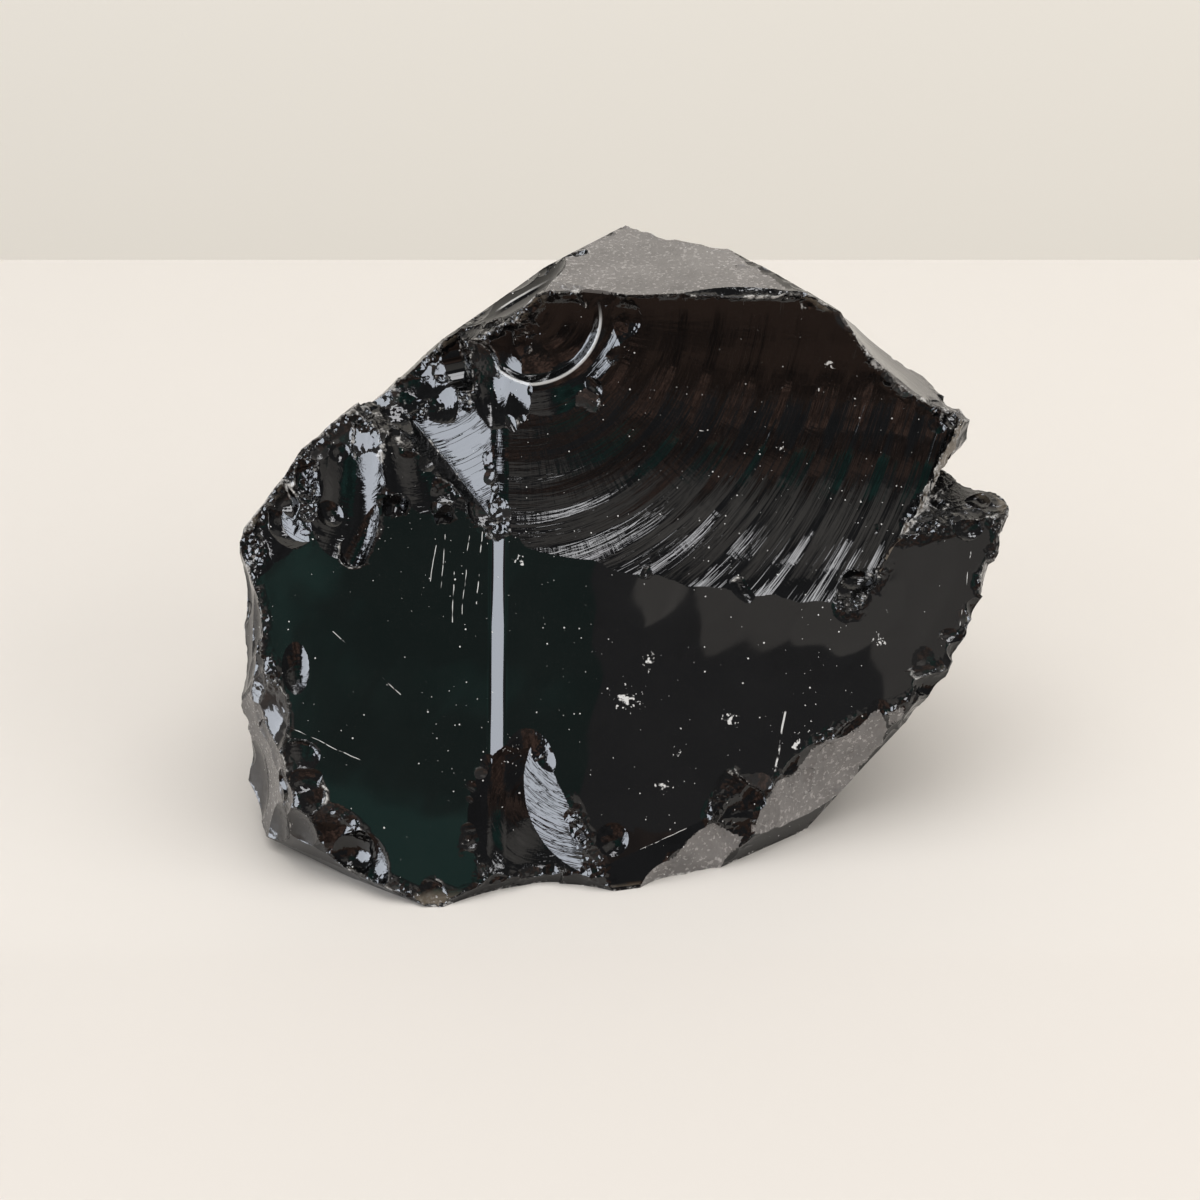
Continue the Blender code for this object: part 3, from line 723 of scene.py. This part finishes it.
def biggest_piece(verts, faces):
    """Drop crumbs that hang loose from the stone."""
    label = np.arange(len(verts))
    ends = np.concatenate([faces[:, (0, 1)], faces[:, (1, 2)], faces[:, (2, 3)]])
    while True:
        least = np.minimum(label[ends[:, 0]], label[ends[:, 1]])
        fresh = label.copy()
        np.minimum.at(fresh, ends[:, 0], least)
        np.minimum.at(fresh, ends[:, 1], least)
        fresh = fresh[fresh]
        if np.array_equal(fresh, label):
            break
        label = fresh
    top = np.bincount(label).argmax()
    keep = label == top
    renumber = np.cumsum(keep) - 1
    faces = renumber[faces[keep[faces[:, 0]]]]
    return verts[keep], faces


def new_mesh(name, verts, faces):
    mesh = bpy.data.meshes.new(name)
    mesh.vertices.add(len(verts))
    mesh.vertices.foreach_set("co", ((verts - FOOTPRINT_MIDDLE) * MM).astype(np.float32).ravel())
    mesh.loops.add(faces.size)
    mesh.loops.foreach_set("vertex_index", faces.astype(np.int32).ravel())
    mesh.polygons.add(len(faces))
    mesh.polygons.foreach_set("loop_start", np.arange(0, faces.size, faces.shape[1], dtype=np.int32))
    mesh.update(calc_edges=True)
    mesh.validate()
    return mesh


def build_stone():
    bowls = Bowls()
    gather_bowls(bowls)
    bowls.close()
    field = Field(bowls)
    verts, quads = mesh_field(field, CELL)
    verts, quads = biggest_piece(verts, quads)
    rough = add_object("rough", new_mesh("rough", verts, quads))
    thin = rough.modifiers.new("thin out", "DECIMATE")
    thin.ratio = min(1.0, FACE_BUDGET / (2.0 * len(quads)))
    thin.use_collapse_triangulate = True
    bpy.context.view_layer.update()
    mesh = bpy.data.meshes.new_from_object(rough.evaluated_get(bpy.context.evaluated_depsgraph_get()))
    bpy.data.objects.remove(rough)
    bm = bmesh.new()
    bm.from_mesh(mesh)
    bmesh.ops.dissolve_degenerate(bm, dist=0.000002, edges=bm.edges)
    bmesh.ops.triangulate(bm, faces=[face for face in bm.faces if len(face.verts) > 3])
    bm.to_mesh(mesh)
    bm.free()
    mesh.name = "obsidian"
    stone = add_object("obsidian", mesh)
    dress_mesh(mesh, field)
    return stone


def face_haze(places):
    """Haze of the named flake at each place, whatever chips lie in it."""
    bowls = Bowls()
    gather_bowls(bowls, with_chips=False)
    bowls.close()
    field = Field(bowls)
    _, which = sorted_call(field, places)
    haze = np.zeros(len(places))
    bowl = which >= field.bowl_base
    haze[bowl] = bowls.haze[which[bowl] - field.bowl_base]
    return haze


TRUST = 0.86  # cosine between a face and its exact normal below which the face's own is used
THIN_LOOK = 12.0  # how deep the glass is sounded
DEEP = 60.0


def dress_mesh(mesh, field):
    """Exact normals, and what the glass needs to know about each place."""
    mesh.update()
    verts, corner = read_mesh(mesh)
    tris = corner.reshape(-1, 3)
    middle = verts[tris].mean(axis=1)
    _, which = sorted_call(field, middle)
    flat = unit_rows(np.cross(verts[tris[:, 1]] - verts[tris[:, 0]], verts[tris[:, 2]] - verts[tris[:, 0]]))
    owner = np.repeat(which, 3)
    normals = field.normals(owner, verts[corner])
    face_normal = np.repeat(flat, 3, axis=0)
    off = np.sum(normals * face_normal, axis=1) < TRUST
    normals[off] = face_normal[off]
    mesh.polygons.foreach_set("use_smooth", np.ones(len(tris), bool))
    mesh.normals_split_custom_set(normals.tolist())

    bowls = field.bowls
    moved = waves(verts[corner])
    bowl = owner >= field.bowl_base
    index = owner[bowl] - field.bowl_base
    strike = np.zeros((len(corner), 3))
    strike[~bowl] = verts[corner][~bowl]
    _, from_a, from_b = bowl_depth(bowls, index, moved[bowl])
    strike[bowl] = np.stack((from_a, from_b, index), axis=1)
    traits = np.zeros((len(corner), 3))
    traits[bowl] = np.stack((bowls.rings, bowls.hackle, bowls.haze), axis=1)[index]
    wall = (owner >= field.guard_base) & ~bowl
    index_wall = owner[wall] - field.guard_base
    axes = np.array([bowl_axes(normal, 0.0) for normal in field.wall_normal])
    offset = verts[corner][wall] - field.wall_at[index_wall]
    strike[wall, 0] = np.sum(offset * axes[index_wall, 0], axis=1) - WALL_BLOW
    strike[wall, 1] = np.sum(offset * axes[index_wall, 1], axis=1)
    strike[wall, 2] = -1.0
    traits[wall, :2] = WALL_RINGS, WALL_HACKLE
    chipped = np.zeros(len(corner), bool)
    chipped[bowl] = bowls.chip[index] > 0.5
    traits[chipped, 2] += 0.9 * face_haze(middle)[np.nonzero(chipped)[0] // 3]

    # arris: 1 on a sharp edge, fading over the next vertex
    spread = np.zeros((len(verts), 3))
    np.add.at(spread, corner, face_normal)
    count = np.bincount(corner, minlength=len(verts))
    sharp = 1.0 - np.linalg.norm(spread, axis=1) / np.maximum(count, 1)
    sharp = np.clip(sharp * 6.0, 0.0, 1.0)
    ends = np.concatenate([tris[:, (0, 1)], tris[:, (1, 2)], tris[:, (2, 0)]])
    total = np.bincount(ends[:, 0], sharp[ends[:, 1]], minlength=len(verts))
    share = np.bincount(ends[:, 0], minlength=len(verts))
    sharp = np.maximum(sharp, 0.5 * total / np.maximum(share, 1))
    # depth: how much glass lies behind each place
    tree = BVHTree.FromPolygons(verts.tolist(), tris.tolist())
    inward = np.zeros((len(verts), 3))
    np.add.at(inward, corner, -normals)
    inward = unit_rows(inward)
    depth = np.full(len(verts), DEEP)
    for row, (place, way) in enumerate(zip(verts.tolist(), inward.tolist())):
        spot, aim = Vector(place), Vector(way)
        hit = tree.ray_cast(spot + aim * 0.05, aim, THIN_LOOK)
        if hit[0] is not None:
            depth[row] = hit[3]
    for name, rows in {"strike": strike, "traits": traits, "arris": sharp, "depth": depth,
                       "crushed": crushing(verts)}.items():
        kind = ("FLOAT", "POINT") if rows.ndim == 1 else ("FLOAT_VECTOR", "CORNER")
        layer = mesh.attributes.new(name, *kind)
        layer.data.foreach_set("value" if rows.ndim == 1 else "vector", rows.astype(np.float32).ravel())


# ------------------------------------------------------------------ materials
class Graph:
    """Short hand for a node tree."""

    def __init__(self, tree):
        self.tree = tree

    def fill(self, node, inputs):
        """Link or set a node's inputs, given by name or in order."""
        for key, value in inputs.items() if isinstance(inputs, dict) else enumerate(inputs):
            if isinstance(value, bpy.types.NodeSocket):
                self.tree.links.new(value, node.inputs[key])
            elif value is not None:
                node.inputs[key].default_value = value

    def node(self, kind, inputs=(), **settings):
        node = self.tree.nodes.new(kind)
        for name, value in settings.items():
            setattr(node, name, value)
        self.fill(node, inputs)
        return node

    def math(self, operation, *values, clamp=False):
        return self.node("ShaderNodeMath", values, operation=operation, use_clamp=clamp).outputs[0]

    def product(self, *values):
        return reduce(partial(self.math, "MULTIPLY"), values)

    def greatest(self, *values):
        return reduce(partial(self.math, "MAXIMUM"), values)

    def vector(self, operation, a, b=None, scale=None):
        node = self.node("ShaderNodeVectorMath", (a, b, None, scale), operation=operation)
        return node.outputs["Value" if operation in ("LENGTH", "DOT_PRODUCT", "DISTANCE") else "Vector"]

    def parts(self, vector):
        return self.node("ShaderNodeSeparateXYZ", (vector,)).outputs

    def attribute(self, name, output="Fac"):
        return self.node("ShaderNodeAttribute", attribute_name=name).outputs[output]

    def noise(self, place, scale, detail=2.0, roughness=0.5, output="Fac"):
        inputs = {"Vector": place, "Scale": scale, "Detail": detail, "Roughness": roughness}
        return self.node("ShaderNodeTexNoise", inputs).outputs[output]

    def voronoi(self, place, scale):
        return self.node("ShaderNodeTexVoronoi", {"Vector": place, "Scale": scale}).outputs

    def to_run(self, place, start, end):
        """Distance to a straight run."""
        run = tuple(b - a for a, b in zip(start, end))
        offset = self.vector("SUBTRACT", place, start)
        length = sum(part * part for part in run)
        share = self.math("DIVIDE", self.vector("DOT_PRODUCT", offset, run), length, clamp=True)
        return self.vector("DISTANCE", offset, self.vector("SCALE", run, scale=share))

    def ramp(self, value, low, high, out_low=0.0, out_high=1.0):
        inputs = (value, low, high, out_low, out_high)
        return self.node("ShaderNodeMapRange", inputs, interpolation_type="SMOOTHSTEP").outputs[0]

    def mix(self, share, a, b):
        return self.node("ShaderNodeMix", {0: share, 6: a, 7: b}, data_type="RGBA").outputs[2]

    def bump(self, height, strength, distance, normal=None):
        inputs = {"Strength": strength, "Distance": distance, "Height": height, "Normal": normal}
        return self.node("ShaderNodeBump", inputs).outputs[0]


def new_material(name):
    material = bpy.data.materials.new(name)
    material.use_nodes = True
    return material, Graph(material.node_tree), material.node_tree.nodes["Principled BSDF"]


# colours of the glass: thick, thin, under a film, crushed, and of the dust and marks, which also paints the
# highlight on the bulb ring's lip
THICK = (0.0035, 0.0035, 0.0038, 1.0)
THIN = (0.12, 0.10, 0.078, 1.0)
FILM = (0.95, 0.90, 0.88, 1.0)
CRUSHED = (0.55, 0.54, 0.53, 1.0)
DUST_AND_GLINT_GREY = (0.6, 0.6, 0.6, 1.0)
GLASS_INDEX = 1.5
FAR = 9.0


def obsidian():
    material, g, shader = new_material("obsidian")
    place = g.node("ShaderNodeTexCoord").outputs["Object"]
    strike = g.attribute("strike", "Vector")
    rings, hackle, haze = g.parts(g.attribute("traits", "Vector"))
    arris, depth, crushed = g.attribute("arris"), g.attribute("depth"), g.attribute("crushed")

    # place round the blow: distance, and heading as a unit vector
    flat = g.vector("MULTIPLY", strike, (1.0, 1.0, 0.0))
    reach = g.vector("LENGTH", flat)
    heading = g.vector("NORMALIZE", flat)

    def polar_noise(turn_scale, reach_scale):
        spread = g.vector("SCALE", heading, scale=turn_scale)
        outward = g.node("ShaderNodeCombineXYZ", {2: g.math("MULTIPLY", reach, reach_scale)})
        return g.noise(g.vector("ADD", spread, outward.outputs[0]), 1.0, 3.0, 0.6)

    ring_height = g.product(polar_noise(1.6, 1.15), rings)
    hackle_height = g.product(polar_noise(26.0, 0.12), g.product(hackle, g.ramp(reach, 2.0, 14.0)))
    groove = g.math("ABSOLUTE", g.math("SUBTRACT", polar_noise(1.1, 0.55), 0.5))
    groove = g.product(g.ramp(groove, 0.0, 0.015), g.ramp(rings, 0.95, 1.25))

    # the sharp half ring round the strike bulb: a bumped step, and a painted highlight along its lip
    inside = g.vector("ADD", g.vector("SCALE", place, scale=1.0 / MM), tuple(FOOTPRINT_MIDDLE))
    from_ring = g.vector("DISTANCE", inside, BULB_RING_MIDDLE)
    to_right, _, height = g.parts(inside)
    shown = g.product(g.ramp(height, BULB_RING_MIDDLE[2] - 6.0, BULB_RING_MIDDLE[2] + 3.5, 1.0, 0.0),
                      g.ramp(to_right, BULB_RING_LEFT - 1.5, BULB_RING_LEFT + 1.5))
    ring_step = g.product(g.ramp(from_ring, BULB_RING_REACH - 1.3, BULB_RING_REACH), shown)
    # painted highlight: a thin pale band on the ring's edge that stands in for the bright reflection along
    # it
    off_lip = g.math("ABSOLUTE", g.math("SUBTRACT", from_ring, BULB_RING_REACH))
    lip = g.product(g.ramp(off_lip, 0.10, 0.30, 0.8, 0.0), g.ramp(shown, 0.0, 0.5))

    # scratches and bruises
    wobble = g.vector("SUBTRACT", g.noise(place, 260.0, output="Color"), (0.5, 0.5, 0.5))
    wobbly = g.vector("ADD", inside, g.vector("SCALE", wobble, scale=0.5))
    scratch = bruise = FAR
    for start, end, half_width in SCRATCHES.values():
        scratch = g.math("MINIMUM", scratch, g.math("DIVIDE", g.to_run(wobbly, start, end), half_width))
    scratch = g.product(g.ramp(scratch, 0.7, 1.3, 1.0, 0.0), g.ramp(g.noise(place, 700.0), 0.36, 0.46))
    for middle, radius in BRUISES:
        off = g.math("DIVIDE", g.vector("DISTANCE", wobbly, middle), radius)
        bruise = g.math("MINIMUM", bruise, off)
    torn = g.noise(place, 1500.0, 3.0, 0.6)
    bruise = g.ramp(g.math("SUBTRACT", torn, g.math("MULTIPLY", bruise, 0.16)), 0.46, 0.50)

    # crushed white glass along arrises
    crumble = g.noise(place, 1100.0, 4.0, 0.65)
    patchy = g.noise(place, 120.0)
    edge_crush = g.product(g.ramp(arris, 0.25, 0.9), g.ramp(g.math("ADD", crumble, patchy), 1.0, 1.22))
    rubble = g.math("MULTIPLY_ADD", g.math("POWER", crushed, 1.6), 0.30, g.noise(place, 480.0, 5.0, 0.68))
    crush = g.greatest(edge_crush, g.ramp(rubble, 0.74, 0.84, 0.0, 0.7))
    broken_up = g.product(g.ramp(crushed, 0.12, 0.6), g.ramp(patchy, 0.38, 0.62))
    shatter = g.product(g.voronoi(place, 900.0)["Distance"], broken_up)

    # dust: fine specks in loose clusters, and a few larger flecks; then every pale mark together, with the
    # painted lip highlight
    cluster = g.noise(place, 60.0, 3.0)
    cell = g.voronoi(place, 1250.0)
    chance, size, _ = g.node("ShaderNodeSeparateColor", (cell["Color"],)).outputs
    present = g.math("LESS_THAN", chance, g.ramp(cluster, 0.42, 0.68, 0.12, 0.75))
    size = g.math("MULTIPLY_ADD", g.math("POWER", size, 4.0), 0.12, 0.055)
    speck = g.product(g.math("LESS_THAN", cell["Distance"], size), present)
    fleck = g.product(g.ramp(g.noise(place, 620.0, 3.0, 0.7), 0.765, 0.785), g.ramp(cluster, 0.5, 0.62))
    # pale marks: dust specks and flecks, scratches and bruises, and the painted highlight on the bulb
    # ring's lip
    dust_and_painted_glint = g.greatest(speck, fleck, scratch, lip, bruise)

    # haze: fine grinding and dust that dulls a face
    veil = g.product(haze, g.ramp(g.noise(place, 90.0, 8.0, 0.7), 0.25, 0.75, 0.5, 1.0))
    salt = g.product(g.ramp(g.noise(place, 1700.0, 2.0, 0.6), 0.56, 0.66, 0.0, 0.8), g.ramp(haze, 0.3, 1.0))
    veil = g.product(veil, g.math("ADD", salt, 0.83))

    glass = g.mix(g.ramp(depth, 0.2, 3.2, 1.0, 0.0), THICK, THIN)
    glass = g.mix(g.math("MULTIPLY", veil, 0.17), glass, FILM)
    # the pale grey of dust and marks, also painting the highlight on the bulb ring's lip
    colour = g.mix(dust_and_painted_glint, g.mix(crush, glass, CRUSHED), DUST_AND_GLINT_GREY)
    dull = g.greatest(g.product(g.greatest(crush, dust_and_painted_glint), 0.45), g.product(veil, 0.22))
    normal = None
    for height, strength, distance in (
            (ring_height, 0.6, 0.00025), (hackle_height, 0.5, 0.00015), (ring_step, 1.0, 0.0009),
            (groove, 0.6, 0.0001), (g.product(crumble, g.ramp(arris, 0.2, 0.8)), 0.6, 0.0002),
            (shatter, 0.9, 0.0009)):
        normal = g.bump(height, strength, distance, normal)
    g.fill(shader, {"Base Color": colour, "Roughness": g.math("ADD", dull, 0.03), "Normal": normal})
    shader.inputs["IOR"].default_value = GLASS_INDEX
    return material


def plain(name, colour):
    material, _, shader = new_material(name)
    shader.inputs["Base Color"].default_value = (*colour, 1.0)
    shader.inputs["Roughness"].default_value = 0.7
    return material


# ------------------------------------------------------------------ the studio
CAMERA_AIM = Vector((-4.15, -13.96, 34.0)) * MM
CAMERA_DISTANCE = 294.0 * MM
CAMERA_LIFT = math.radians(30.0)
FLOOR_BACK = 0.2195
WALL_AT = 0.62
RUG_EDGE, RUG_HEIGHT = -0.052, 0.0015


def add_object(name, data):
    obj = bpy.data.objects.new(name, data)
    bpy.context.scene.collection.objects.link(obj)
    return obj


def sheet(name, corners, faces, material, glossy_only=False):
    """Part of the studio; one that is only glossy shows in reflections alone."""
    mesh = bpy.data.meshes.new(name)
    mesh.from_pydata(corners, [], faces)
    mesh.materials.append(material)
    obj = add_object(name, mesh)
    if glossy_only:
        obj.visible_camera = obj.visible_diffuse = obj.visible_shadow = obj.visible_transmission = False


def quad(name, left, right, near, far, material, glossy_only=False):
    """Sheet from left to right, between two (depth, height) edges."""
    corners = [(left, *near), (right, *near), (right, *far), (left, *far)]
    sheet(name, corners, [(0, 1, 2, 3)], material, glossy_only)


def glow_material(name, colour, dim=None):
    """Light of its own; dim is the share that is left in the bands of a slow noise."""
    material, g, shader = new_material(name)
    g.tree.nodes.remove(shader)
    tint = (*colour, 1.0)
    if dim is not None:
        place = g.node("ShaderNodeTexCoord").outputs["Object"]
        share = g.ramp(g.noise(place, 5.0, 3.0, 0.6), 0.42, 0.60, dim, 1.0)
        tint = g.mix(share, (0.0, 0.0, 0.0, 1.0), tint)
    glow = g.node("ShaderNodeEmission", {"Color": tint, "Strength": 1.0})
    g.fill(g.tree.nodes["Material Output"], {"Surface": glow.outputs[0]})
    return material


def card(name, turns, lifts, distance, colour, dim=None):
    """Curved card round the stone between two turns and two lifts, seen only in reflections."""
    across, up = 25, 13
    corners = [tuple(CAMERA_AIM + Vector(direction((turn, lift))) * distance)
               for lift in np.linspace(*lifts, up) for turn in np.linspace(*turns, across)]
    faces = [(first, first + 1, first + across + 1, first + across)
             for row in range(up - 1) for first in range(row * across, (row + 1) * across - 1)]
    sheet(name, corners, faces, glow_material(name, colour, dim), glossy_only=True)


def area_light(name, turn, lift, distance, width, height, radiance, colour):
    """Soft box seen from the stone at (turn, lift), facing it; the glass doesn't mirror it."""
    light = bpy.data.lights.new(name, "AREA")
    light.shape = "RECTANGLE"
    light.size, light.size_y = width, height
    light.energy = radiance * math.pi * width * height
    light.color = colour
    obj = add_object(name, light)
    way = Vector(direction((turn, lift)))
    obj.location = CAMERA_AIM + way * distance
    obj.rotation_euler = way.to_track_quat("Z", "Y").to_euler()
    obj.visible_glossy = False


CARDS = {
    # turns, lifts, distance, colour, share left in the bands
    "room": ((-118, 118), (-6, 112), 1.20, (0.15, 0.155, 0.165), 0.55),
    "ceiling": ((12, 70), (49.5, 66), 1.10, (0.95, 0.90, 0.84), 0.7),
    "hall": ((19, 70), (43, 49.5), 1.10, (0.85, 0.80, 0.75), 0.7),
    "garden": ((-40, 7), (40, 62), 1.08, (0.10, 0.36, 0.31), 0.35),
    "shelf": ((-4, 44), (22, 40), 1.06, (0.50, 0.31, 0.24), 0.15),
    "door": ((-26, 12), (-6, 24), 1.05, (0.95, 0.56, 0.42), 0.2),
    "window": ((-86, -42), (-2, 42), 1.00, (9.0, 9.6, 10.6), None),
    "skylight": ((-60, 60), (79, 104), 0.98, (9.0, 9.0, 9.2), None),
}


def build_studio():
    quad("floor", -2.5, 2.5, (-2.5, 0.0), (FLOOR_BACK, 0.0), plain("floor", (0.675, 0.648, 0.618)))
    quad("wall", -3.0, 3.0, (WALL_AT, -1.0), (WALL_AT, 1.2), plain("wall", (0.97, 0.935, 0.87)))
    quad("rug", -0.9, 0.9, (-0.95, RUG_HEIGHT), (RUG_EDGE, RUG_HEIGHT),
         glow_material("rug", (0.33, 0.20, 0.145), 0.2), glossy_only=True)
    for name, numbers in CARDS.items():
        card(name, *numbers)
    area_light("window light", -62, 30, 1.0, 0.7, 0.6, 0.75, (0.90, 0.95, 1.0))
    area_light("fill light", 72, 28, 1.0, 0.8, 0.6, 2.0, (1.0, 0.99, 0.97))
    area_light("overhead", 180, 78, 1.6, 2.2, 2.0, 1.75, (1.0, 0.985, 0.965))
    world = bpy.data.worlds.new("studio")
    bpy.context.scene.world = world
    world.use_nodes = True
    back = world.node_tree.nodes["Background"]
    back.inputs["Color"].default_value = (0.80, 0.77, 0.73, 1.0)
    back.inputs["Strength"].default_value = 0.76

    camera = bpy.data.cameras.new("camera")
    camera.lens = 60.0
    camera.sensor_width = 36.0
    camera.clip_start = 0.01
    obj = add_object("camera", camera)
    back_off = Vector((0.0, -math.cos(CAMERA_LIFT), math.sin(CAMERA_LIFT)))
    obj.location = CAMERA_AIM + CAMERA_DISTANCE * back_off
    obj.rotation_euler = (math.pi / 2 - CAMERA_LIFT, 0.0, 0.0)
    bpy.context.scene.camera = obj
    bpy.context.scene.view_settings.view_transform = "Standard"


stone = build_stone()
stone.data.materials.clear()
stone.data.materials.append(obsidian())
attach(stone, "root")
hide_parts("obsidian_chunk")
build_studio()
bpy.context.view_layer.update()
